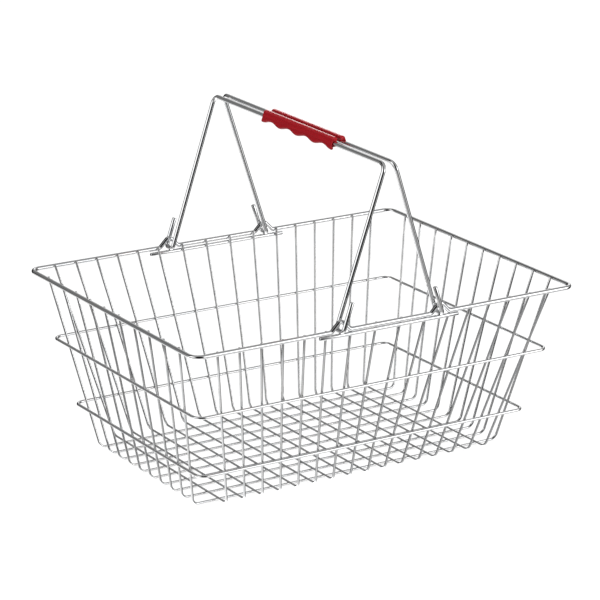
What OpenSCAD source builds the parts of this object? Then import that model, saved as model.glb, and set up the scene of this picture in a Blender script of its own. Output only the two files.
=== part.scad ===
// Wire hand basket with two swing handles.
// Welded wire body: a rim ring, two band rings, two stay rods, sixteen cross
// wires and ten long wires. Two wire handles hook through the eyes under the
// rim humps and each carries a clip-on finger grip.
// Frame: origin on the floor at the middle of the bottom, X along the long
// side, Y across the basket, Z up. Front is -Y and left is -X. Millimetres.
// Shown with both handles up.

/* [Basket] */
// Length over the rim wire centre line
basket_l = 430; // [400:1:460]
// Width over the rim wire centre line
basket_w = 322; // [305:1:340]
// Height of the rim wire centre line above the floor
rim_z = 174; // [160:1:190]
// Length of the bottom between the virtual wire corners
bottom_l = 352; // [330:1:370]
// Width of the bottom between the virtual wire corners
bottom_w = 220; // [205:1:235]
// Corner radius of the rim ring
rim_corner_r = 10; // [8:1:20]
// Height of the middle band above the floor
mid_z = 106.7; // [90:0.1:120]
// Height of the low band above the floor
low_z = 40.5; // [30:0.1:60]
// Corner radius of the middle band
mid_corner_r = 9; // [7:1:16]
// Corner radius of the low band
low_corner_r = 8; // [6:1:14]

/* [Wire sizes] */
// Rim wire diameter
rim_d = 4.3; // [3.8:0.1:4.6]
// Stay rod diameter
stay_d = 4; // [3.4:0.1:4.2]
// Band wire diameter
band_d = 3; // [2.6:0.1:3.4]
// Body wire diameter
wire_d = 2.3; // [2:0.1:2.5]
// Bend radius of the body wires at the bottom
bend_r = 7; // [5:0.5:10]
// How far the cut wire ends stand above the rim centre line
wire_over = 1.2; // [0.5:0.1:1.8]

/* [Wire grid] */
// Pitch of the cross wires along the bottom
cross_pitch_bottom = 20; // [18:0.1:21]
// Pitch of the six middle cross wires at the rim
cross_pitch_mid = 28.2; // [27:0.1:29]
// Pitch of the outer cross wires at the rim
cross_pitch_end = 23.6; // [22:0.1:24]
// Pitch of the long wires along the bottom
long_pitch_bottom = 20.3; // [18:0.1:21]
// Pitch of the long wires at the rim
long_pitch_rim = 28.4; // [26:0.1:29]

/* [Handle eyes] */
// Distance from the middle to each handle eye
eye_x = 56.4; // [56:0.1:57]
// Half width of the hump in the rim at its foot
hump_half = 10.5; // [9.5:0.1:11]
// Bend radius at the hump top
hump_top_r = 4; // [3:0.5:5]
// Bend radius at the hump foot
hump_foot_r = 4; // [3:0.5:4]
// Half length of each stay rod
stay_half = 78.5; // [76:0.5:88]

/* [Handles] */
// Handle wire diameter
handle_d = 4.3; // [4:0.1:4.4]
// Distance from the hook pin to the handle bar
handle_rise = 161.8; // [161:0.1:163]
// Distance of the raised bar from the middle plane
bar_x = 5.1; // [4.3:0.1:6]
// Half width of the handle at the bar
bar_half = 155.4; // [155:0.1:155.6]
// Half width of the handle at the hook
leg_half = 153.6; // [153:0.1:153.8]
// Distance of the hook tail from the middle plane of the handle
tail_half = 165.6; // [165.6:0.1:166.5]
// Height of the hook tail above the hook pin
tail_rise = 30; // [20:1:34]
// Bend radius at the handle corners
handle_r = 8; // [7:1:14]
// Bend radius of the hook
hook_r = 3.8; // [3:0.1:4.2]

/* [Grips] */
// Length of each grip
grip_l = 126; // [120:1:130]
// Length of one finger wave
wave_l = 31; // [29:0.5:31.5]
// Depth of the finger wave
wave_depth = 2.8; // [1.5:0.1:3]
// Depth of the grip below the handle wire centre at a crest
grip_low = 6.4; // [6:0.1:7]
// How far the grips sit from the middle of the bar, along Y
grip_shift = -5; // [-8:0.5:8]

/* [View] */
// Node to draw

/* [Hidden] */
$fn = 48;
chrome = [0.78, 0.79, 0.81];
red = [0.68, 0.07, 0.11];

// a short collar joins each end of a bend to its straight run
collar_l = 0.3;
collar_proud = 0.03;
run_inset = 0.05;  // a straight run stops this far short of the bend

weld_gap = 0.02;   // air line between two welded wires
long_z = wire_d / 2 + collar_proud;  // the bend collars just touch the floor
cross_z = long_z + wire_d + weld_gap;

// centre distance of a body wire and a ring wire of diameter d
function weld_reach(d) = (d + wire_d) / 2 + weld_gap;

// outward slope of a leg that passes `reach` inside a ring wire,
// the ring lying `out` outside and `up` above the leg's bottom corner
function leg_slope(out, up, reach) =
  (out * up - reach * sqrt(out * out + up * up - reach * reach)) / (up * up - reach * reach);
cross_slope = leg_slope((basket_w - bottom_w) / 2, rim_z - cross_z, weld_reach(rim_d));
long_slope = leg_slope((basket_l - bottom_l) / 2, rim_z - long_z, weld_reach(rim_d));

// size of a ring of wire diameter d around sloping legs that stand `half` from the middle
function ring_size(half, slope, d) = 2 * (half + weld_reach(d) * sqrt(1 + slope * slope));
function ring_w(z, d) = ring_size(bottom_w / 2 + cross_slope * (z - cross_z), cross_slope, d);
function ring_l(z, d) = ring_size(bottom_l / 2 + long_slope * (z - long_z), long_slope, d);

// hook pins, and the stay rods below them
pin_drop = 0.7;   // hook pin centre below the rim centre line
stay_gap = 0.25;  // air between hook pin and stay rod
pin_z = rim_z - pin_drop;
stay_z = pin_z - handle_d / 2 - stay_d / 2 - stay_gap;
stay_y = ring_w(stay_z, stay_d) / 2;
tilt = asin((eye_x - bar_x) / handle_rise);  // lean of a raised handle to the middle

// wire stations: cross wires count from the middle outwards, long wires from front to back
cross_per_side = 8;
inner_per_side = 3;  // cross wires at the middle pitch, on each side
long_count = 10;
function cross_bottom(i) = (i - 0.5) * cross_pitch_bottom;
function cross_rim(i) = i <= inner_per_side
  ? (i - 0.5) * cross_pitch_mid
  : (inner_per_side - 0.5) * cross_pitch_mid + (i - inner_per_side) * cross_pitch_end;
function long_station(n, pitch) = (n - (long_count + 1) / 2) * pitch;

// ---- bent wire in the XY plane through points, with bend radius radii[i] at points[i] ----
function heading(from, to) = atan2(to[1] - from[1], to[0] - from[0]);
function wrap(angle) = angle > 180 ? angle - 360 : angle < -180 ? angle + 360 : angle;
function turn(points, i) =
  wrap(heading(points[i], points[i + 1]) - heading(points[i - 1], points[i]));
// distance from a corner to the start of its bend
function setback(points, radii, i) =
  i <= 0 || i >= len(points) - 1 ? 0 : radii[i] * tan(abs(turn(points, i)) / 2);

module collar(d) {
  cylinder(h = collar_l, d = d + 2 * collar_proud, center = true);
}

module bend(r, angle, d) {
  rotate_extrude(angle = angle) translate([r, 0]) circle(d = d);
}

module bent_wire(points, radii, d) {
  // straight runs
  for (i = [0 : len(points) - 2]) {
    start = setback(points, radii, i);
    end = norm(points[i + 1] - points[i]) - setback(points, radii, i + 1);
    start_bent = i > 0;
    end_bent = i < len(points) - 2;
    run_start = start + (start_bent ? run_inset : 0);
    run_end = end - (end_bent ? run_inset : 0);
    translate([points[i][0], points[i][1], 0])
      rotate([0, 0, heading(points[i], points[i + 1])]) rotate([0, 90, 0]) {
        translate([0, 0, run_start]) cylinder(h = run_end - run_start, d = d);
        if (start_bent) translate([0, 0, start]) collar(d);
        if (end_bent) translate([0, 0, end]) collar(d);
      }
  }
  // bends
  for (i = [1 : len(points) - 2]) {
    head_in = heading(points[i - 1], points[i]);
    head_out = heading(points[i], points[i + 1]);
    angle = turn(points, i);
    side_r = angle > 0 ? radii[i] : -radii[i];
    back = setback(points, radii, i);
    translate([points[i][0] - back * cos(head_in) - side_r * sin(head_in),
               points[i][1] - back * sin(head_in) + side_r * cos(head_in), 0])
      rotate([0, 0, angle > 0 ? head_in - 90 : head_out + 90])
        bend(radii[i], abs(angle), d);
  }
}

// ---- rings ----
// four corner bends with a collar at each end
module corner_bends(l, w, r, d) {
  for (k = [0 : 3])
    translate([(k == 0 || k == 3 ? 1 : -1) * (l / 2 - r), (k < 2 ? 1 : -1) * (w / 2 - r), 0])
      rotate([0, 0, 90 * k]) {
        bend(r, 90, d);
        translate([r, 0, 0]) rotate([90, 0, 0]) collar(d);
        translate([0, r, 0]) rotate([0, 90, 0]) collar(d);
      }
}

// length of the straight run of a ring side between two corners
function side_run(size, r) = size - 2 * (r + run_inset);

// corners and the two short sides
module ring_ends(l, w, r, d) {
  corner_bends(l, w, r, d);
  for (s = [-1, 1])
    translate([s * l / 2, 0, 0]) rotate([90, 0, 0])
      cylinder(h = side_run(w, r), d = d, center = true);
}

module band(z, r) {
  l = ring_l(z, band_d);
  w = ring_w(z, band_d);
  color(chrome) translate([0, 0, z]) {
    ring_ends(l, w, r, band_d);
    for (s = [-1, 1])
      translate([0, s * w / 2, 0]) rotate([0, 90, 0])
        cylinder(h = side_run(l, r), d = band_d, center = true);
  }
}

// each long side rises in two 45 degree humps, one over each handle eye
module rim_ring() {
  run_end = side_run(basket_l, rim_corner_r) / 2;
  foot_in = eye_x - hump_half;
  foot_out = eye_x + hump_half;
  points = [[-run_end, 0],
            [-foot_out, 0], [-eye_x, hump_half], [-foot_in, 0],
            [foot_in, 0], [eye_x, hump_half], [foot_out, 0],
            [run_end, 0]];
  radii = [0, hump_foot_r, hump_top_r, hump_foot_r, hump_foot_r, hump_top_r, hump_foot_r, 0];
  color(chrome) translate([0, 0, rim_z]) {
    ring_ends(basket_l, basket_w, rim_corner_r, rim_d);
    for (s = [-1, 1])
      translate([0, s * basket_w / 2, 0]) rotate([90, 0, 0]) bent_wire(points, radii, rim_d);
  }
}

module middle_band() { band(mid_z, mid_corner_r); }
module low_band() { band(low_z, low_corner_r); }

// side = -1 front, 1 back
module stay_rod(side) {
  color(chrome) translate([0, side * stay_y, stay_z]) rotate([0, 90, 0])
    cylinder(h = 2 * stay_half, d = stay_d, center = true);
}
module stay_rod_front() { stay_rod(-1); }
module stay_rod_back() { stay_rod(1); }

// ---- body wires: one flat U each, tipped about its own bottom run ----
// half = virtual half length of the bottom run, slope = outward slope of the legs,
// fan = sideways travel of the legs from the bottom to the rim, z = height of the bottom run
module u_wire(half, slope, fan, z) {
  tip = atan2(fan, rim_z - z);
  rise = rim_z + wire_over - z;
  leg = rise / cos(tip);
  top = half + slope * rise;
  rotate([90 - tip, 0, 0])
    bent_wire([[-top, leg], [-half, 0], [half, 0], [top, leg]], [0, bend_r, bend_r, 0], wire_d);
}

// n counts from left to right
module cross_wire(n) {
  side = n <= cross_per_side ? -1 : 1;
  i = side < 0 ? cross_per_side + 1 - n : n - cross_per_side;
  color(chrome) translate([side * cross_bottom(i), 0, cross_z]) rotate([0, 0, 90])
    u_wire(bottom_w / 2, cross_slope, side * (cross_bottom(i) - cross_rim(i)), cross_z);
}

// n counts from front to back
module long_wire(n) {
  y = long_station(n, long_pitch_bottom);
  color(chrome) translate([0, y, long_z])
    u_wire(bottom_l / 2, long_slope, long_station(n, long_pitch_rim) - y, long_z);
}

module cross_wire_01() { cross_wire(1); }
module cross_wire_02() { cross_wire(2); }
module cross_wire_03() { cross_wire(3); }
module cross_wire_04() { cross_wire(4); }
module cross_wire_05() { cross_wire(5); }
module cross_wire_06() { cross_wire(6); }
module cross_wire_07() { cross_wire(7); }
module cross_wire_08() { cross_wire(8); }
module cross_wire_09() { cross_wire(9); }
module cross_wire_10() { cross_wire(10); }
module cross_wire_11() { cross_wire(11); }
module cross_wire_12() { cross_wire(12); }
module cross_wire_13() { cross_wire(13); }
module cross_wire_14() { cross_wire(14); }
module cross_wire_15() { cross_wire(15); }
module cross_wire_16() { cross_wire(16); }
module long_wire_01() { long_wire(1); }
module long_wire_02() { long_wire(2); }
module long_wire_03() { long_wire(3); }
module long_wire_04() { long_wire(4); }
module long_wire_05() { long_wire(5); }
module long_wire_06() { long_wire(6); }
module long_wire_07() { long_wire(7); }
module long_wire_08() { long_wire(8); }
module long_wire_09() { long_wire(9); }
module long_wire_10() { long_wire(10); }

// ---- handles: flat bent wire, hooked at both ends, hinged at the hook pins ----
// stands the flat handle plane (X across, Y up) on the pivot; side = -1 left, 1 right
module handle_place(side) {
  translate([side * eye_x, 0, pin_z]) rotate([0, -side * tilt, 0]) rotate([90, 0, 90])
    children();
}

module handle_wire(side) {
  points = [[-tail_half, tail_rise], [-tail_half, 0], [-leg_half, 0], [-bar_half, handle_rise],
            [bar_half, handle_rise], [leg_half, 0], [tail_half, 0], [tail_half, tail_rise]];
  radii = [0, hook_r, hook_r, handle_r, handle_r, hook_r, hook_r, 0];
  color(chrome) handle_place(side) bent_wire(points, radii, handle_d);
}
module left_handle_wire() { handle_wire(-1); }
module right_handle_wire() { handle_wire(1); }

// ---- grips ----
clip_wall = 1.1;
clip_play = 0.05;      // radial, around the handle wire
slot = [6, 3.6];       // clip opening, depth and height
top_bead_r = 2.5;
top_bead_at = [0.6, 4.2];
low_bead_r = 1.65;
low_bead_x = 1.6;
back_size = [2.25, 9.2];
back_at = [1, -4.8];
outline_top = 7;
end_chamfer = [1.6, 1.8];
outline_slack = 0.01;  // the outline clears the crests by this much
waves_half = 2;        // finger waves on each side of the middle
outline_steps = 64;

// section about the wire centre: X = away from the other handle, Y = up
module grip_section() {
  difference() {
    union() {
      translate(top_bead_at) circle(r = top_bead_r);
      circle(r = handle_d / 2 + clip_wall);
      translate(back_at) square(back_size);
      translate([low_bead_x, -grip_low + low_bead_r]) circle(r = low_bead_r);
    }
    circle(r = handle_d / 2 + clip_play);
    translate([-slot[0], -slot[1] / 2]) square(slot);
  }
}

// section turned so that its closed back faces away from the other handle
module turned_section(side) {
  multmatrix([[0, 1, 0, 0], [side, 0, 0, 0], [0, 0, 1, 0], [0, 0, 0, 1]]) grip_section();
}

// side view of the grip: straight top, finger waves below, flat beyond the last wave
module grip_outline() {
  end = grip_l / 2;
  shoulder_x = end - end_chamfer[0];
  shoulder_y = outline_top - end_chamfer[1];
  polygon(concat(
    [[-end, shoulder_y], [-shoulder_x, outline_top], [shoulder_x, outline_top], [end, shoulder_y]],
    [for (i = [0 : outline_steps])
      let (x = end - grip_l * i / outline_steps,
           wave = abs(x) > waves_half * wave_l ? 1 : cos(360 * x / wave_l))
        [x, -grip_low - outline_slack + wave_depth * (1 - wave) / 2]]));
}

module handle_grip(side) {
  color(red) handle_place(side) translate([grip_shift, handle_rise, 0]) intersection() {
    rotate([90, 0, 90]) linear_extrude(height = grip_l, center = true) turned_section(side);
    linear_extrude(height = 20, center = true) grip_outline();  // wider than the section
  }
}
module left_handle_grip() { handle_grip(-1); }
module right_handle_grip() { handle_grip(1); }

rim_ring();
middle_band();
low_band();
stay_rod_front();
stay_rod_back();
cross_wire_01();
cross_wire_02();
cross_wire_03();
cross_wire_04();
cross_wire_05();
cross_wire_06();
cross_wire_07();
cross_wire_08();
cross_wire_09();
cross_wire_10();
cross_wire_11();
cross_wire_12();
cross_wire_13();
cross_wire_14();
cross_wire_15();
cross_wire_16();
long_wire_01();
long_wire_02();
long_wire_03();
long_wire_04();
long_wire_05();
long_wire_06();
long_wire_07();
long_wire_08();
long_wire_09();
long_wire_10();
left_handle_wire();
right_handle_wire();
left_handle_grip();
right_handle_grip();
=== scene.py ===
"""Chrome wire basket with two folding handles, each with a red moulded grip.

The basket stands on z = 0, centred on the origin: long side along X, short side along Y.
Front is -Y, left is -X. The handles turn on pins at x = -EYE_X and EYE_X and lean in
towards x = 0. Sizes are in millimetres until MM turns them into metres; the stage is in metres.
"""
import math

import bpy
import bmesh
from mathutils import Matrix, Vector


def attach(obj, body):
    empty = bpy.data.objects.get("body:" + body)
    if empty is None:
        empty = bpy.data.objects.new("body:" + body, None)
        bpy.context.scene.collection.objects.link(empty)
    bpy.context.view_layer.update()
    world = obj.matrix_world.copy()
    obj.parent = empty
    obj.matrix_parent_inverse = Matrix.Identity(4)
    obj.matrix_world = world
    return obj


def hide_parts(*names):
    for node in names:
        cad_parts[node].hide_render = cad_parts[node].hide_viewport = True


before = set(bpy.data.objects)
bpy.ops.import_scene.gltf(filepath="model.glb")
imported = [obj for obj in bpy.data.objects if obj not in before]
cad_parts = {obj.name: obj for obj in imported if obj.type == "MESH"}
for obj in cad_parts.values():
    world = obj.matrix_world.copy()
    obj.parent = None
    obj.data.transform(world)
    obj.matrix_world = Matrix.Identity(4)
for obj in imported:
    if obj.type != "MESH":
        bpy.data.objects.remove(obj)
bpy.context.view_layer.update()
MM = 0.001

# --------------------------------------------------------------------------
# sizes; _D is a wire diameter, _R a bend radius, _HALF half of a length
# --------------------------------------------------------------------------
BASKET_L, BASKET_W, RIM_Z = 430.0, 322.0, 174.0
BOTTOM_L, BOTTOM_W = 352.0, 220.0
RIM_D, STAY_D, BAND_D, WIRE_D, HANDLE_D = 4.3, 4.0, 3.0, 2.3, 4.3
GAP = 0.02                                    # air left between two welded wires

RIM_R = 10.0
BANDS = (("middle_band", 106.7, 9.0), ("low_band", 40.5, 8.0))      # name, z, corner radius
EYE_X = 56.4                                  # the rim's humps and the handle pins
HUMP_HALF, HUMP_TOP_R, HUMP_FOOT_R = 10.5, 4.0, 4.0
PIN_Z = RIM_Z - 0.7
STAY_HALF = 78.5
STAY_Z = PIN_Z - HANDLE_D / 2 - STAY_D / 2 - 0.25

BEND_R, WIRE_OVER = 7.0, 1.2                  # body wires: bottom bend, ends above RIM_Z
LONG_Z = WIRE_D / 2 + 0.03                    # the long wires lie lowest, the cross wires on them
CROSS_Z = LONG_Z + WIRE_D + GAP
CROSS_PER_SIDE, CROSS_PITCH = 8, 20.0
MIDDLE_PER_SIDE, MIDDLE_RIM_PITCH, OUTER_RIM_PITCH = 3, 28.2, 23.6
LONG_COUNT, LONG_PITCH, LONG_RIM_PITCH = 10, 20.3, 28.4

RISE = 161.8                                  # pins to bar, along the handle plane
BAR_X = 5.1                                   # leaning bar to the middle of the basket
BAR_HALF, LEG_HALF, TAIL_HALF, TAIL_RISE = 155.4, 153.6, 165.6, 30.0
HANDLE_R, HOOK_R = 8.0, 3.8
TILT = math.asin((EYE_X - BAR_X) / RISE)


# --------------------------------------------------------------------------
# centre lines and wires
# --------------------------------------------------------------------------
def bend(corner, to_previous, to_next, radius, degrees):
    """Arc stations of a bend between two unit directions that leave its corner."""
    inner = to_previous.angle(to_next)
    back = radius / math.tan(inner / 2)
    centre = corner + (to_previous + to_next).normalized() * (radius / math.sin(inner / 2))
    start = corner + to_previous * back - centre
    end = corner + to_next * back - centre
    sweep = math.pi - inner
    count = max(3, int(math.ceil(math.degrees(sweep) / degrees)))
    arc = []
    for i in range(count + 1):
        part = i / count
        spoke = start * math.sin((1 - part) * sweep) + end * math.sin(part * sweep)
        arc.append(centre + spoke / math.sin(sweep))
    return arc


def rounded(points, radii, closed=False, degrees=6.0):
    """Centre line through points with a bend of radius radii[i] at points[i]."""
    points = [Vector(point) for point in points]
    last = len(points) - 1
    line = []
    for i, point in enumerate(points):
        if not closed and i in (0, last):
            line.append(point)
            continue
        to_previous = (points[i - 1] - point).normalized()
        to_next = (points[(i + 1) % len(points)] - point).normalized()
        if math.pi - to_previous.angle(to_next) < 1e-4:
            line.append(point)
        else:
            line.extend(bend(point, to_previous, to_next, radii[i], degrees))
    clean = [line[0]]
    for point in line[1:]:
        if (point - clean[-1]).length > 1e-4:
            clean.append(point)
    if closed and (clean[0] - clean[-1]).length < 1e-4:
        clean.pop()
    return clean


def subdivided(points, closed, longest=24.0):
    """Adds stations along the straight runs so the wire's own coordinates stay even."""
    line = []
    count = len(points)
    for i in range(count if closed else count - 1):
        start, end = points[i], points[(i + 1) % count]
        parts = max(1, int(math.ceil((end - start).length / longest)))
        for k in range(parts):
            line.append(start.lerp(end, k / parts))
    if not closed:
        line.append(points[-1])
    return line


def tangent_at(points, i, closed):
    ahead = (points[(i + 1) % len(points)] - points[i]).normalized()
    behind = (points[i] - points[i - 1]).normalized()
    if not closed and i == 0:
        return ahead
    if not closed and i == len(points) - 1:
        return behind
    return (ahead + behind).normalized()


# a chamfered cut end, from the face inwards, in units of the cut: distance in, radius lost
CUT_PROFILE = ((0.0, 1.1), (0.45, 0.32), (1.2, 0.0))


def cut_end(station, cut, inward):
    """Stations of a cut end; inward is 1 at the start of the wire and -1 at its end."""
    centre, tangent, radius, along = station
    return [(centre + tangent * cut * inward * depth, tangent,
             radius - cut * loss, along + cut * inward * depth) for depth, loss in CUT_PROFILE]


def wire_stations(points, radius, closed):
    """(centre, tangent, radius, length along the wire) for each ring of vertices."""
    stations = []
    along = 0.0
    for i, point in enumerate(points):
        if i:
            along += (point - points[i - 1]).length
        stations.append((point, tangent_at(points, i, closed), radius, along))
    if closed:
        # a second ring right beside the first, so the unrolled length can restart there
        seam = 0.4
        first, tangent = stations[0][:2]
        along += (points[0] - points[-1]).length - seam
        return stations + [(first - tangent * seam, tangent, radius, along)]
    cut = min(0.35, radius * 0.25)
    return (cut_end(stations[0], cut, 1) + stations[1:-1]
            + cut_end(stations[-1], cut, -1)[::-1])


def skin(bm, loops, closed=False):
    """Joins equal loops of vertices with quads; returns the two caps of an open skin."""
    sides = len(loops[0])
    following = loops[1:] + loops[:1] if closed else loops[1:]
    for near, far in zip(loops, following):
        for i in range(sides):
            j = (i + 1) % sides
            bm.faces.new((near[i], near[j], far[j], far[i]))
    if closed:
        return []
    return [bm.faces.new(loops[0][::-1]), bm.faces.new(loops[-1])]


def new_object(name, bm, material, smooth=True):
    bmesh.ops.recalc_face_normals(bm, faces=bm.faces)
    mesh = bpy.data.meshes.new(name)
    bm.to_mesh(mesh)
    bm.free()
    if smooth:
        for polygon in mesh.polygons:
            polygon.use_smooth = True
    obj = bpy.data.objects.new(name, mesh)
    bpy.context.scene.collection.objects.link(obj)
    mesh.materials.append(material)
    return obj


def wire(name, points, diameter, material, closed=False, sides=24, normal=(0, 0, 1),
         transform=None):
    """A round section swept along its centre line, with chamfered cut ends.
    Stores wire_co, the point in the wire's own unrolled coordinates."""
    radius = diameter / 2
    bm = bmesh.new()
    layer = bm.verts.layers.float_vector.new("wire_co")
    up = Vector(normal)
    loops = []
    stations = wire_stations(subdivided(points, closed), radius, closed)
    for centre, tangent, ring_radius, along in stations:
        up = (up - tangent * up.dot(tangent)).normalized()
        side = tangent.cross(up)
        loop = []
        for i in range(sides):
            angle = 2 * math.pi * i / sides
            x, y = math.cos(angle), math.sin(angle)
            place = centre + (side * x + up * y) * ring_radius
            if transform is not None:
                place = transform @ place
            vertex = bm.verts.new(place * MM)
            vertex[layer] = (along * MM, x * radius * MM, y * radius * MM)
            loop.append(vertex)
        loops.append(loop)
    skin(bm, loops, closed)
    return new_object(name, bm, material)


def finish_piece(obj, body, node):
    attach(obj, body)
    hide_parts(node)
    return obj


# --------------------------------------------------------------------------
# shader helpers
# --------------------------------------------------------------------------
class Graph:
    """Node tree of a material or world. An input takes a plain value or a socket to link."""

    def __init__(self, owner):
        owner.use_nodes = True
        self.tree = owner.node_tree
        self.tree.nodes.clear()

    def set(self, node, inputs):
        for key, value in inputs.items():
            if isinstance(value, bpy.types.NodeSocket):
                self.tree.links.new(value, node.inputs[key])
            else:
                node.inputs[key].default_value = value

    def add(self, kind, inputs=None, **properties):
        node = self.tree.nodes.new(kind)
        for key, value in properties.items():
            setattr(node, key, value)
        self.set(node, inputs or {})
        return node

    def math(self, operation, first, second=None, clamp=False):
        inputs = {0: first} if second is None else {0: first, 1: second}
        return self.add("ShaderNodeMath", inputs, operation=operation, use_clamp=clamp).outputs[0]

    def scaled(self, value, amount):
        return self.math("MULTIPLY", value, amount)

    def swing(self, value, amount):
        """A 0..1 value turned into a swing of the given amount about zero."""
        return self.scaled(self.math("SUBTRACT", value, 0.5), amount)

    def ramp(self, factor, stops):
        """stops: (position, (red, green, blue))."""
        node = self.add("ShaderNodeValToRGB", {0: factor})
        elements = node.color_ramp.elements
        while len(elements) < len(stops):
            elements.new(0.5)
        for element, (position, colour) in zip(elements, stops):
            element.position = position
            element.color = (*colour, 1)
        return node.outputs[0]

    def mix(self, factor, first, second):
        inputs = {0: factor, 6: first, 7: second}
        return self.add("ShaderNodeMix", inputs, data_type="RGBA").outputs[2]

    def object_coords(self):
        return self.add("ShaderNodeTexCoord").outputs["Object"]

    def mapping(self, vector, **inputs):
        return self.add("ShaderNodeMapping", {"Vector": vector, **inputs}).outputs[0]

    def noise(self, vector, **inputs):
        return self.add("ShaderNodeTexNoise", {"Vector": vector, **inputs}).outputs["Fac"]

    def bump(self, height, **inputs):
        return self.add("ShaderNodeBump", {"Height": height, **inputs}).outputs[0]


def grey(level):
    return (level, level, level)


def new_surface(name, metallic):
    """A material with a principled shader: (material, graph, shader node)."""
    material = bpy.data.materials.new(name)
    graph = Graph(material)
    shader = graph.add("ShaderNodeBsdfPrincipled", {"Metallic": metallic})
    graph.add("ShaderNodeOutputMaterial", {0: shader.outputs[0]})
    return material, graph, shader


# --------------------------------------------------------------------------
# materials
# --------------------------------------------------------------------------
def chrome_material(name, tone, rough, crease_shade_and_dulling, seed):
    """Bright plate over drawn steel wire: faint draw lines along the wire, soft
    patches in the plate, fine pits, and painted shade on a rougher plate in the corners where
    wires meet."""
    material, graph, shader = new_surface(name, metallic=1.0)

    wire_co = graph.add("ShaderNodeAttribute", attribute_name="wire_co").outputs["Vector"]
    stretched = graph.mapping(wire_co, Scale=(90, 5200, 5200), Location=(seed * 3.1, seed, 0))
    lines = graph.noise(stretched, Scale=1.0, Detail=3.0, Roughness=0.6)

    shifted = graph.mapping(graph.object_coords(), Location=(seed, -seed, seed * 2))
    patches = graph.noise(shifted, Scale=46.0, Detail=4.0, Roughness=0.55)
    pits = graph.add("ShaderNodeTexVoronoi", {"Vector": shifted, "Scale": 900.0})
    pit_mask = graph.ramp(pits.outputs["Distance"], [(0.0, grey(0)), (0.16, grey(1))])

    # painted shade: ambient occlusion darkens the plate where wires meet and cross, and also
    # roughens it there
    crease = graph.add("ShaderNodeAmbientOcclusion", {"Distance": 0.0016}, samples=6)
    crease_shade_and_dulling_mask = graph.ramp(crease.outputs["AO"], [(0.25, grey(1)), (0.85, grey(0))])

    # cool where the patches are dark, slightly warm where they are bright
    plate = graph.ramp(patches, [
        (0.3, (tone * 0.93, tone * 0.95, tone * 0.97)),
        (0.55, (tone, tone, tone * 1.005)),
        (0.75, (tone * 1.04, tone * 1.035, tone * 1.02))])
    # painted shade: the colour the plate darkens towards in those corners
    crease_shade_colour = (tone * 0.42, tone * 0.40, tone * 0.37, 1)
    colour = graph.mix(graph.scaled(crease_shade_and_dulling_mask, 0.20 * crease_shade_and_dulling), plate, crease_shade_colour)

    roughness = graph.swing(patches, amount=0.10)
    roughness = graph.math("ADD", roughness, graph.swing(lines, amount=0.07))
    roughness = graph.math("ADD", roughness, graph.scaled(crease_shade_and_dulling_mask, 0.16 * crease_shade_and_dulling))
    roughness = graph.math("ADD", roughness, rough, clamp=True)
    smoothest = 0.03
    roughness = graph.math("MAXIMUM", roughness, smoothest)

    line_bump = graph.bump(lines, Strength=0.10, Distance=0.00004)
    pit_bump = graph.bump(pit_mask, Strength=0.12, Distance=0.00003, Normal=line_bump)
    graph.set(shader, {"Base Color": colour, "Roughness": roughness, "Normal": pit_bump})
    return material


def weld_material(name):
    """Spot weld under the plate: greyer and rougher than the drawn wire."""
    material, graph, shader = new_surface(name, metallic=1.0)
    grain = graph.noise(graph.object_coords(), Scale=1400.0, Detail=4.0, Roughness=0.6)
    colour = graph.ramp(grain, [(0.35, (0.36, 0.355, 0.35)), (0.7, (0.62, 0.62, 0.63))])
    smoothest, grain_roughness = 0.16, 0.3
    roughness = graph.math("ADD", graph.scaled(grain, grain_roughness), smoothest)
    bump = graph.bump(grain, Strength=0.5, Distance=0.00012)
    graph.set(shader, {"Base Color": colour, "Roughness": roughness, "Normal": bump})
    return material


def grip_material(name):
    """Glossy moulded plastic, deep red, with a fine moulded grain and slight flow
    streaks along its length; the edges are polished by hands and painted a paler red as a painted
    highlight."""
    material, graph, shader = new_surface(name, metallic=0.0)
    place = graph.object_coords()
    grain = graph.noise(place, Scale=2600.0, Detail=3.0, Roughness=0.55)
    stretched = graph.mapping(place, Scale=(420, 34, 420))
    flow = graph.noise(stretched, Scale=1.0, Detail=5.0, Roughness=0.6, Distortion=0.4)
    pointiness = graph.add("ShaderNodeNewGeometry").outputs["Pointiness"]
    # pointy edges: a painted highlight in the colour, and polish that lowers the roughness and
    # raises the shine
    edge_highlight_and_polish = graph.ramp(pointiness, [(0.50, grey(0)), (0.56, grey(1))])

    red = graph.ramp(flow, [
        (0.25, (0.205, 0.0010, 0.0042)),
        (0.5, (0.245, 0.0015, 0.0056)),
        (0.75, (0.285, 0.0024, 0.0076))])
    # painted highlight: the red the edges pale towards
    edge_highlight_red, edge_highlight_amount = (0.36, 0.012, 0.020, 1), 0.25
    colour = graph.mix(graph.scaled(edge_highlight_and_polish, edge_highlight_amount), red, edge_highlight_red)

    base, from_grain, from_flow, from_rub = 0.30, 0.16, 0.08, 0.14
    roughness = graph.math("ADD", graph.scaled(grain, from_grain), base)
    roughness = graph.math("ADD", roughness, graph.scaled(flow, from_flow))
    roughness = graph.math("SUBTRACT", roughness, graph.scaled(edge_highlight_and_polish, from_rub), clamp=True)

    # hands polish the bead and the lip; the flat face keeps its fine moulded grain
    face_shine, rub_shine = 0.10, 0.50
    shine = graph.math("ADD", graph.scaled(edge_highlight_and_polish, rub_shine), face_shine)
    grain_bump = graph.bump(grain, Strength=0.16, Distance=0.00006)
    flow_bump = graph.bump(flow, Strength=0.10, Distance=0.0004, Normal=grain_bump)
    graph.set(shader, {"Base Color": colour, "Roughness": roughness, "IOR": 1.49,
                       "Specular IOR Level": shine, "Normal": flow_bump})
    return material


# One chrome plate on every wire: the lower tones of the cross wires (0.70) and the long wires
# (0.77), against 0.80 on the frame and handles, are painted shade
FRAME_CHROME = chrome_material(
    "frame_wire_chrome_plate", tone=0.80, rough=0.085, crease_shade_and_dulling=1.0, seed=1.7)
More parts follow.
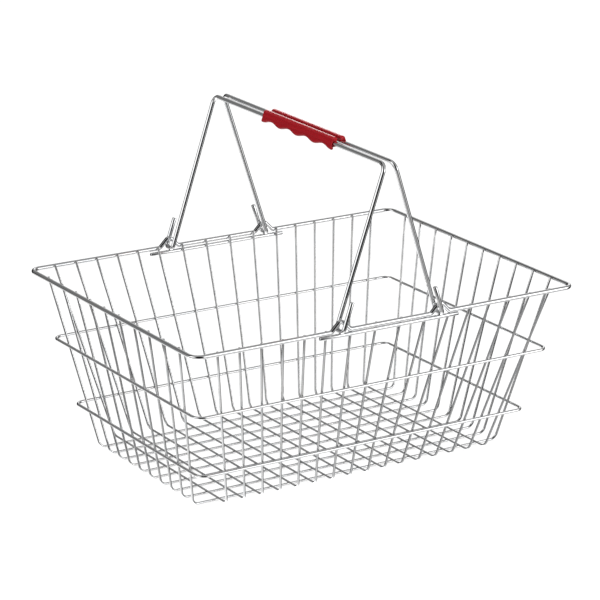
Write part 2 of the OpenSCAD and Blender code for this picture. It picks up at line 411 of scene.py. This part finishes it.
# painted shade: cross wires darkened to tone 0.70
CROSS_CHROME_SHADED = chrome_material(
    "cross_wire_chrome_plate", tone=0.70, rough=0.10, crease_shade_and_dulling=1.0, seed=4.2)
# painted shade: long wires darkened slightly to tone 0.77
LONG_CHROME_SHADED = chrome_material(
    "long_wire_chrome_plate", tone=0.77, rough=0.09, crease_shade_and_dulling=1.0, seed=5.6)
HANDLE_CHROME = chrome_material(
    "handle_wire_chrome_plate", tone=0.80, rough=0.075, crease_shade_and_dulling=0.8, seed=7.9)
WELD = weld_material("weld_plate")
GRIP = grip_material("grip_red_plastic")


# --------------------------------------------------------------------------
# the two families of U-shaped body wires, which also set the size of the bands
# --------------------------------------------------------------------------
def leg_slope(run, rise, clearance):
    """Outward run per unit of rise of a leg that passes the point (run, rise) with its
    centre line the clearance away."""
    root = math.sqrt(run * run + rise * rise - clearance * clearance)
    return (run * rise - clearance * root) / (rise * rise - clearance * clearance)


class WireFamily:
    """Wires side by side: "out" is along the flat bottom, "along" is across the family."""

    def __init__(self, name, material, bottom, rim, z, out_is_x):
        self.name, self.material, self.z, self.out_is_x = name, material, z, out_is_x
        self.bottom_half, self.rim_half = bottom / 2, rim / 2
        clearance = (RIM_D + WIRE_D) / 2 + GAP
        self.slope = leg_slope((rim - bottom) / 2, RIM_Z - z, clearance)
        self.lean = math.sqrt(1 + self.slope ** 2)

    def point(self, out, along, z):
        return (out, along, z) if self.out_is_x else (along, out, z)

    def leg_out(self, z):
        return self.bottom_half + self.slope * (z - self.z)

    def ring_half(self, z, diameter):
        """Half the size of a ring that lies against the outside of the legs at height z."""
        return self.leg_out(z) + ((diameter + WIRE_D) / 2 + GAP) * self.lean

    def fan(self, bottom, rim, z):
        """Place across the family of a leg that fans out from bottom to rim."""
        return bottom + (rim - bottom) * (z - self.z) / (RIM_Z - self.z)

    def centre_line(self, bottom, rim):
        top = RIM_Z + WIRE_OVER
        flat = ((-self.leg_out(top), top), (-self.bottom_half, self.z),
                (self.bottom_half, self.z), (self.leg_out(top), top))
        points = [self.point(out, self.fan(bottom, rim, z), z) for out, z in flat]
        return rounded(points, [0, BEND_R, BEND_R, 0], degrees=7)

    def ring_welds(self, bottom, rim, ring_half, z, diameter):
        """Welds where a wire's two legs pass a ring or stay rod at height z."""
        level = 1 / self.lean
        reach = (diameter + GAP) / 2
        leg_z = z + self.slope * level * ((diameter + WIRE_D) / 2 + GAP)
        along = self.fan(bottom, rim, leg_z)
        return [(Vector(self.point(side * (ring_half - level * reach), along,
                                   z + self.slope * level * reach)),
                 Vector(self.point(-side * level, 0, self.slope * level)))
                for side in (-1, 1)]

    def ring_levels(self):
        """(half size, z, diameter) of the rim and the bands."""
        bands = [(self.ring_half(z, BAND_D), z, BAND_D) for _, z, _ in BANDS]
        return [(self.rim_half, RIM_Z, RIM_D)] + bands

    def build(self, number, bottom, rim):
        node = "%s_wire_%02d" % (self.name, number)
        rod = wire(node + "_rod", self.centre_line(bottom, rim), WIRE_D, self.material,
                   sides=20, normal=self.point(0, 1, 0))
        finish_piece(rod, "basket", node)


CROSS = WireFamily("cross", CROSS_CHROME_SHADED, bottom=BOTTOM_W, rim=BASKET_W, z=CROSS_Z,
                   out_is_x=False)
LONG = WireFamily("long", LONG_CHROME_SHADED, bottom=BOTTOM_L, rim=BASKET_L, z=LONG_Z, out_is_x=True)
STAY_Y = CROSS.ring_half(STAY_Z, STAY_D)


def cross_place(step):
    """X of a cross wire at the bottom and the rim; step counts from the middle, never 0."""
    side, count = (1 if step > 0 else -1), abs(step)
    if count <= MIDDLE_PER_SIDE:
        rim = (count - 0.5) * MIDDLE_RIM_PITCH
    else:
        rim = ((MIDDLE_PER_SIDE - 0.5) * MIDDLE_RIM_PITCH
               + (count - MIDDLE_PER_SIDE) * OUTER_RIM_PITCH)
    return side * (count - 0.5) * CROSS_PITCH, side * rim


# (bottom, rim) of every wire, from left to right and from front to back
CROSS_PLACES = [cross_place(step) for step in range(-CROSS_PER_SIDE, CROSS_PER_SIDE + 1) if step]
LONG_PLACES = [((i - (LONG_COUNT + 1) / 2) * LONG_PITCH,
                (i - (LONG_COUNT + 1) / 2) * LONG_RIM_PITCH) for i in range(1, LONG_COUNT + 1)]


# --------------------------------------------------------------------------
# rim, bands and stay rods
# --------------------------------------------------------------------------
def hump(x, y, direction):
    """(point, radius) of one hump in the rim, in the order of running along X."""
    return [((x - direction * HUMP_HALF, y, RIM_Z), HUMP_FOOT_R),
            ((x, y, RIM_Z + HUMP_HALF), HUMP_TOP_R),
            ((x + direction * HUMP_HALF, y, RIM_Z), HUMP_FOOT_R)]


def rim_line():
    """Closed rim loop, from the middle of the back side round by the left."""
    x, y = BASKET_L / 2, BASKET_W / 2
    path = [((0, y, RIM_Z), 0)]
    path += hump(-EYE_X, y, -1)
    path += [((-x, y, RIM_Z), RIM_R), ((-x, -y, RIM_Z), RIM_R)]
    path += hump(-EYE_X, -y, 1) + hump(EYE_X, -y, 1)
    path += [((x, -y, RIM_Z), RIM_R), ((x, y, RIM_Z), RIM_R)]
    path += hump(EYE_X, y, -1)
    points, radii = zip(*path)
    return rounded(points, radii, closed=True, degrees=5)


def build_rim():
    tube = wire("rim_ring_tube", rim_line(), RIM_D, FRAME_CHROME, closed=True, sides=32)
    finish_piece(tube, "basket", "rim_ring")


def build_band(name, z, radius):
    x, y = LONG.ring_half(z, BAND_D), CROSS.ring_half(z, BAND_D)
    corners = [(0, y, z), (-x, y, z), (-x, -y, z), (x, -y, z), (x, y, z)]
    line = rounded(corners, [0] + [radius] * 4, closed=True, degrees=5)
    tube = wire(name + "_tube", line, BAND_D, FRAME_CHROME, closed=True, sides=28)
    finish_piece(tube, "basket", name)


def build_stay_rod(name, side):
    line = [Vector((x, side * STAY_Y, STAY_Z)) for x in (-STAY_HALF, STAY_HALF)]
    rod = wire(name + "_bar", line, STAY_D, FRAME_CHROME, sides=28)
    finish_piece(rod, "basket", name)


build_rim()
for band in BANDS:
    build_band(*band)
build_stay_rod("stay_rod_front", -1)
build_stay_rod("stay_rod_back", 1)


# --------------------------------------------------------------------------
# body wires and their welds
# --------------------------------------------------------------------------
def build_body_wires():
    """Returns the welds: (contact point, direction from one wire to the other)."""
    welds = []
    for number, (bottom, rim) in enumerate(CROSS_PLACES, 1):
        CROSS.build(number, bottom, rim)
        levels = CROSS.ring_levels()
        if abs(rim) < STAY_HALF - 3:          # the wire reaches the stay rods
            levels.append((STAY_Y, STAY_Z, STAY_D))
        for level in levels:
            welds += CROSS.ring_welds(bottom, rim, *level)
        for long_bottom, _ in LONG_PLACES:
            welds.append((Vector((bottom, long_bottom, (LONG_Z + CROSS_Z) / 2)),
                          Vector((0, 0, 1))))
    for number, (bottom, rim) in enumerate(LONG_PLACES, 1):
        LONG.build(number, bottom, rim)
        for level in LONG.ring_levels():
            welds += LONG.ring_welds(bottom, rim, *level)
    return welds


# height from the contact point, radius
NUGGET_PROFILE = ((-0.62, 1.02), (-0.42, 0.86), (-0.2, 0.74), (0.0, 0.70),
                  (0.2, 0.74), (0.42, 0.86), (0.62, 1.02))
NUGGET_SIDES = 12


def build_welds(welds):
    """One small waisted nugget in every gap between two welded wires."""
    bm = bmesh.new()
    turns = [2 * math.pi * i / NUGGET_SIDES for i in range(NUGGET_SIDES)]
    for i, (contact, direction) in enumerate(welds):
        axis = direction.normalized()
        side = axis.orthogonal().normalized()
        other = axis.cross(side)
        grow = 1.0 + 0.10 * math.sin(i * 12.9898)      # slightly uneven weld sizes
        loops = []
        for height, radius in NUGGET_PROFILE:
            loops.append([bm.verts.new(
                (contact + axis * height
                 + (side * math.cos(turn) + other * math.sin(turn)) * radius * grow) * MM)
                for turn in turns])
        skin(bm, loops)
    nuggets = new_object("weld_nuggets", bm, WELD)
    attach(nuggets, "basket")


build_welds(build_body_wires())


# --------------------------------------------------------------------------
# handles; side is -1 for the left one, 1 for the right one
# --------------------------------------------------------------------------
HANDLES = (("left", -1), ("right", 1))

# flat handle plane, tail to tail: x, y, bend radius
HANDLE_PATH = (
    (-TAIL_HALF, TAIL_RISE, 0), (-TAIL_HALF, 0, HOOK_R), (-LEG_HALF, 0, HOOK_R),
    (-BAR_HALF, RISE, HANDLE_R), (BAR_HALF, RISE, HANDLE_R),
    (LEG_HALF, 0, HOOK_R), (TAIL_HALF, 0, HOOK_R), (TAIL_HALF, TAIL_RISE, 0))


def handle_matrix(side):
    """Flat handle plane (X across, Y up the legs) onto its leaning place on the pins."""
    flat = Matrix(((0, 0, 1), (1, 0, 0), (0, 1, 0))).to_4x4()      # X -> Y, Y -> Z, Z -> X
    return (Matrix.Translation((side * EYE_X, 0, PIN_Z))
            @ Matrix.Rotation(-side * TILT, 4, "Y") @ flat)


def build_handle(name, side):
    line = rounded([(x, y, 0) for x, y, _ in HANDLE_PATH], [row[2] for row in HANDLE_PATH])
    bent = wire(name + "_handle_bent_wire", line, HANDLE_D, HANDLE_CHROME, sides=32,
                transform=handle_matrix(side))
    finish_piece(bent, "handle_" + name, name + "_handle_wire")


for name, side in HANDLES:
    build_handle(name, side)


# --------------------------------------------------------------------------
# grips: a clip section whose lower lip follows the finger waves
# Section axes from the handle wire's centre: x away from the other handle, y up.
# --------------------------------------------------------------------------
GRIP_HALF, GRIP_SHIFT = 126.0 / 2, -5.0       # the shift is towards the front
WAVE_L, WAVE_DEPTH, WAVES_PER_SIDE = 31.0, 2.8, 2
GRIP_LOW = 6.4                                # lowest point of the lip below the wire
BEAD_X, BEAD_Y, BEAD_R = 0.6, 4.2, 2.5        # bead along the top
LIP_X, LIP_R = 1.6, 1.65
WALL_X, WALL_TOP = 1.0, 4.4                   # inner face and top of the outer wall
SLEEVE_R = HANDLE_D / 2 + 1.1
CHANNEL_R = HANDLE_D / 2 + 0.05
SLOT_DEPTH, SLOT_HALF = 9.0, 1.8              # mouth of the channel, towards -x
FULL_TOP, END_TOP, TOP_CHAMFER_L = 7.0, 5.2, 1.6      # the top is cut lower at the ends
END_ROUND = 0.42                              # rounding of the end edges
OUTLINE_COUNTS = (44, 52, 52)                 # top to lip, lip to channel, channel to top
END_STATIONS = (0.0, 0.04, 0.12, 0.25, 0.42, 0.8, 1.2, 1.6, 2.2)    # distance from the end
INNER_PARTS = 118                             # even parts between the end stations


def smooth_min(first, second, blend):
    overlap = max(blend - abs(first - second), 0.0) / blend
    return min(first, second) - overlap * overlap * blend / 4


def smooth_max(first, second, blend):
    return -smooth_min(-first, -second, blend)


def disc(x, y, centre_x, centre_y, radius):
    return math.hypot(x - centre_x, y - centre_y) - radius


def box(x, y, x0, x1, y0, y1):
    out_x = abs(x - (x0 + x1) / 2) - (x1 - x0) / 2
    out_y = abs(y - (y0 + y1) / 2) - (y1 - y0) / 2
    return math.hypot(max(out_x, 0), max(out_y, 0)) + min(max(out_x, out_y), 0)


def grip_field(x, y, lift, top):
    """Signed distance to the grip section: lift raises the lower lip, top is the
    height the end chamfer leaves."""
    lip_y = -GRIP_LOW + LIP_R + lift
    bead = disc(x, y, BEAD_X, BEAD_Y, BEAD_R)
    sleeve = disc(x, y, 0, 0, SLEEVE_R)
    lip = disc(x, y, LIP_X, lip_y, LIP_R)
    wall = box(x, y, WALL_X, LIP_X + LIP_R, min(lip_y, 0.0), WALL_TOP)
    upper = smooth_min(bead, sleeve, blend=0.7)
    lower = smooth_min(lip, wall, blend=0.5)
    section = smooth_min(upper, lower, blend=0.7)
    section = smooth_max(section, y - top, blend=0.5)
    channel = disc(x, y, 0, 0, CHANNEL_R)
    slot = box(x, y, -SLOT_DEPTH, 0.0, -SLOT_HALF, SLOT_HALF)
    section = smooth_max(section, -channel, blend=0.12)
    return smooth_max(section, -slot, blend=0.45)


def walk_outline(field):
    """Points on the zero line of a field, clockwise from the top, outer face first."""
    def gradient(x, y):
        tiny = 1e-3
        return ((field(x + tiny, y) - field(x - tiny, y)) / (2 * tiny),
                (field(x, y + tiny) - field(x, y - tiny)) / (2 * tiny))

    def snap(x, y):
        for _ in range(4):
            value = field(x, y)
            grad_x, grad_y = gradient(x, y)
            square = max(grad_x * grad_x + grad_y * grad_y, 1e-3)
            x, y = x - value * grad_x / square, y - value * grad_y / square
        return x, y

    y = 4.0                                   # inside the bead
    while field(BEAD_X, y) < 0:
        y += 0.02
    x, y = snap(BEAD_X, y)
    line = [(x, y)]
    step, most_steps, steps_to_leave_start = 0.07, 4000, 40
    for i in range(most_steps):
        grad_x, grad_y = gradient(x, y)
        size = math.hypot(grad_x, grad_y)
        x, y = snap(x + step * grad_y / size, y - step * grad_x / size)
        line.append((x, y))
        from_start = math.hypot(x - line[0][0], y - line[0][1])
        if i > steps_to_leave_start and from_start < step * 0.8:
            break
    return line


def resample(line, count):
    """count evenly spaced points along an open line, without its last point."""
    lengths = [0.0]
    for (x0, y0), (x1, y1) in zip(line, line[1:]):
        lengths.append(lengths[-1] + math.hypot(x1 - x0, y1 - y0))
    points = []
    j = 0
    for i in range(count):
        want = lengths[-1] * i / count
        while j < len(lengths) - 2 and lengths[j + 1] < want:
            j += 1
        part = (want - lengths[j]) / max(lengths[j + 1] - lengths[j], 1e-9)
        (x0, y0), (x1, y1) = line[j], line[j + 1]
        points.append((x0 + (x1 - x0) * part, y0 + (y1 - y0) * part))
    return points


def trace(lift, top, inset):
    """Closed outline at level -inset, resampled between three anchors so that points
    match from one station to the next."""
    line = walk_outline(lambda x, y: grip_field(x, y, lift, top) + inset)
    last = len(line) - 1
    low = min(range(last + 1), key=lambda i: line[i][1])
    channel = min(range(low, last + 1),
                  key=lambda i: math.hypot(line[i][0] - CHANNEL_R, line[i][1]))
    parts = (line[:low + 1], line[low:channel + 1], line[channel:] + [line[0]])
    return [point for part, count in zip(parts, OUTLINE_COUNTS)
            for point in resample(part, count)]


OUTLINES = {}           # traced outlines, since most of them repeat


def grip_outline(along):
    """Outline of the grip at a distance from its middle."""
    distance = abs(along)
    wave = 1.0
    if distance <= WAVE_L * WAVES_PER_SIDE:
        wave = math.cos(2 * math.pi * distance / WAVE_L)
    lift = WAVE_DEPTH * (1 - wave) / 2
    from_end = GRIP_HALF - distance
    top = FULL_TOP
    if distance >= GRIP_HALF - TOP_CHAMFER_L:
        top = END_TOP + from_end * (FULL_TOP - END_TOP) / TOP_CHAMFER_L
    inset = 0.0
    if from_end < END_ROUND:
        inset = END_ROUND - math.sqrt(max(END_ROUND ** 2 - (END_ROUND - from_end) ** 2, 0.0))
    key = (round(lift, 3), round(top, 3), round(inset, 3))
    if key not in OUTLINES:
        OUTLINES[key] = trace(lift, top, inset)
    return OUTLINES[key]


def grip_stations():
    even_half = GRIP_HALF - END_STATIONS[-1]
    inner = [-even_half + 2 * even_half * i / INNER_PARTS for i in range(1, INNER_PARTS)]
    return ([-GRIP_HALF + end for end in END_STATIONS] + inner
            + [GRIP_HALF - end for end in reversed(END_STATIONS)])


def build_grip(name, side):
    matrix = handle_matrix(side) @ Matrix.Translation((GRIP_SHIFT, RISE, 0))
    bm = bmesh.new()
    # section x is the handle plane's own Z, mirrored for the left handle
    loops = [[bm.verts.new((matrix @ Vector((along, y, side * x))) * MM)
              for x, y in grip_outline(along)] for along in grip_stations()]
    caps = skin(bm, loops)
    bmesh.ops.triangulate(bm, faces=caps, ngon_method="EAR_CLIP")
    moulding = new_object(name + "_grip_moulding", bm, GRIP)
    return finish_piece(moulding, "handle_" + name, name + "_handle_grip")


GRIPS = [build_grip(name, side) for name, side in HANDLES]


# --------------------------------------------------------------------------
# stage, in metres: pale floor, soft studio surround, lights, camera
# --------------------------------------------------------------------------
def floor_material():
    """Dimmed white paper with a glow of its own."""
    material = bpy.data.materials.new("floor_paper")
    graph = Graph(material)
    white, black = (1, 1, 1, 1), (0, 0, 0, 1)
    diffuse = graph.add("ShaderNodeBsdfDiffuse", {"Color": (0.9, 0.9, 0.9, 1)})
    glow = graph.add("ShaderNodeEmission", {"Color": white, "Strength": 0.80})
    dark = graph.add("ShaderNodeEmission", {"Color": black, "Strength": 0.0})
    diffuse_share = 0.28
    dim = graph.add("ShaderNodeMixShader",
                    {0: diffuse_share, 1: dark.outputs[0], 2: diffuse.outputs[0]})
    both = graph.add("ShaderNodeAddShader", {0: dim.outputs[0], 1: glow.outputs[0]})
    graph.add("ShaderNodeOutputMaterial", {0: both.outputs[0]})
    return material


def build_floor():
    bm = bmesh.new()
    bmesh.ops.create_grid(bm, x_segments=8, y_segments=8, size=6.0)
    floor = new_object("floor", bm, floor_material(), smooth=False)
    floor.location = (0, 0, -0.0002)
    floor.visible_glossy = False


# The studio as the bright plate sees it: soft spots added to an even base level.
# Columns: azimuth from +X towards +Y and elevation in degrees, tightness, and level,
# which adds light above zero and takes it away below.
STUDIO_BASE, STUDIO_DARKEST = 0.945, 0.01
STUDIO = (
    (-105.6, 8.9, 7.1, -0.32),       # front
    (-107.4, 8.9, 6.8, -1.36),       # front, stronger
    (174.6, 22.1, 14.5, 1.44),       # left
    (105.1, -15.2, 9.5, -1.27),      # back, low
    (140.2, 43.0, 12.1, -1.58),      # back left, high
    (82.4, 32.6, 5.9, 0.13),         # back, high
    (55.0, 3.3, 2.9, -1.64),         # back right, very wide
    (48.8, 17.1, 17.1, 1.83),        # back right
    (-51.3, 4.6, 24.0, 3.40),        # front right, narrow and bright
    (-17.7, -20.4, 13.9, -1.38),     # right, low
    (-6.2, 56.0, 5.3, -0.43),        # right, high
    (107.2, -57.5, 6.0, 2.57),       # from below, towards the back
    (-66.5, -13.7, 11.7, -0.79),     # front, low
    (173.0, -28.8, 7.7, -1.20),      # left, low
    (-122.0, 48.0, 7.5, -0.85),      # behind the camera, high
    (-122.0, -30.0, 9.0, -0.32),     # behind the camera, low
)


def build_world():
    """Plain white for the camera and for soft fill; the studio above for reflections."""
    world = bpy.data.worlds.new("studio")
    bpy.context.scene.world = world
    graph = Graph(world)
    view = graph.add("ShaderNodeTexCoord").outputs["Generated"]
    total = graph.math("ADD", STUDIO_BASE, 0.0)
    for azimuth, elevation, tightness, level in STUDIO:
        turn, rise = math.radians(azimuth), math.radians(elevation)
        centre = (math.cos(turn) * math.cos(rise), math.sin(turn) * math.cos(rise),
                  math.sin(rise))
        facing = graph.add("ShaderNodeVectorMath", {0: view, 1: centre}, operation="DOT_PRODUCT")
        away = graph.math("SUBTRACT", facing.outputs["Value"], 1.0)
        spot = graph.math("EXPONENT", graph.scaled(away, tightness))
        total = graph.math("ADD", total, graph.scaled(spot, level))
    total = graph.math("MAXIMUM", total, STUDIO_DARKEST)
    colour = graph.add("ShaderNodeCombineColor", {i: total for i in range(3)}).outputs[0]

    white = graph.add("ShaderNodeBackground", {"Color": (1, 1, 1, 1), "Strength": 1.0})
    studio = graph.add("ShaderNodeBackground", {"Color": colour, "Strength": 1.0})
    glossy = graph.add("ShaderNodeLightPath").outputs["Is Glossy Ray"]
    pick = graph.add("ShaderNodeMixShader",
                     {0: glossy, 1: white.outputs[0], 2: studio.outputs[0]})
    graph.add("ShaderNodeOutputWorld", {0: pick.outputs[0]})


def area_light(name, location, target, size, power):
    data = bpy.data.lights.new(name, "AREA")
    data.shape = "RECTANGLE"
    data.size, data.size_y = size
    data.energy = power
    light = bpy.data.objects.new(name, data)
    light.location = location
    aim = Vector(target) - Vector(location)
    light.rotation_euler = aim.to_track_quat("-Z", "Y").to_euler()
    bpy.context.scene.collection.objects.link(light)
    return light


def build_room_lights():
    top = area_light("softbox_top", location=(-0.3, -0.2, 2.6), target=(0, 0, 0.15),
                     size=(2.4, 2.0), power=20)
    left = area_light("softbox_left", location=(-2.2, -1.6, 1.3), target=(0, 0, 0.2),
                      size=(1.2, 1.6), power=6)
    top.visible_glossy = left.visible_glossy = False


def build_grip_lights():
    """Lights that reach the grips only."""
    only_grips = bpy.data.collections.new("grip_light_receivers")
    for piece in GRIPS:
        only_grips.objects.link(piece)
    target = (0, 0, 0.3)
    # high at the back right: the bright line along each grip's top bead
    bead = area_light("softbox_grips", location=(1.25, 2.45, 1.55), target=target,
                      size=(1.6, 1.6), power=40)
    # wide, dim and low below it: pales the edges seen at a glancing angle
    edge = area_light("sweep_grips", location=(1.60, 2.52, 0.45), target=target,
                      size=(2.6, 1.8), power=26)
    # in front: the grips' cut ends
    ends = area_light("front_grips", location=(0.55, -3.0, 0.95), target=target,
                      size=(1.2, 1.2), power=42)
    for light in (bead, edge):
        light.visible_diffuse = light.visible_transmission = False
    for light in (bead, edge, ends):
        light.visible_camera = False
        light.light_linking.receiver_collection = only_grips


def build_camera():
    """Camera in front and to the left; azimuth is from -Y towards +X."""
    data = bpy.data.cameras.new("camera")
    data.sensor_fit = "HORIZONTAL"
    data.sensor_width = 36.0
    data.lens = 185.857
    data.clip_start, data.clip_end = 0.05, 50.0
    camera = bpy.data.objects.new("camera", data)
    bpy.context.scene.collection.objects.link(camera)

    location = (-1.56156, -2.46597, 1.07607)
    azimuth, elevation, roll = (math.radians(angle) for angle in (-32.3491, 17.5784, 0.4311))
    back = Vector((math.sin(azimuth) * math.cos(elevation),
                   -math.cos(azimuth) * math.cos(elevation), math.sin(elevation)))
    right = Vector((math.cos(azimuth), math.sin(azimuth), 0))
    up = back.cross(right)
    rolled_right = math.cos(roll) * right + math.sin(roll) * up
    rolled_up = -math.sin(roll) * right + math.cos(roll) * up
    turn = Matrix((rolled_right, rolled_up, back)).transposed().to_4x4()
    camera.matrix_world = Matrix.Translation(location) @ turn
    bpy.context.scene.camera = camera


build_floor()
build_world()
build_room_lights()
build_grip_lights()
build_camera()
bpy.context.scene.view_settings.view_transform = "Standard"
bpy.context.scene.view_settings.look = "None"
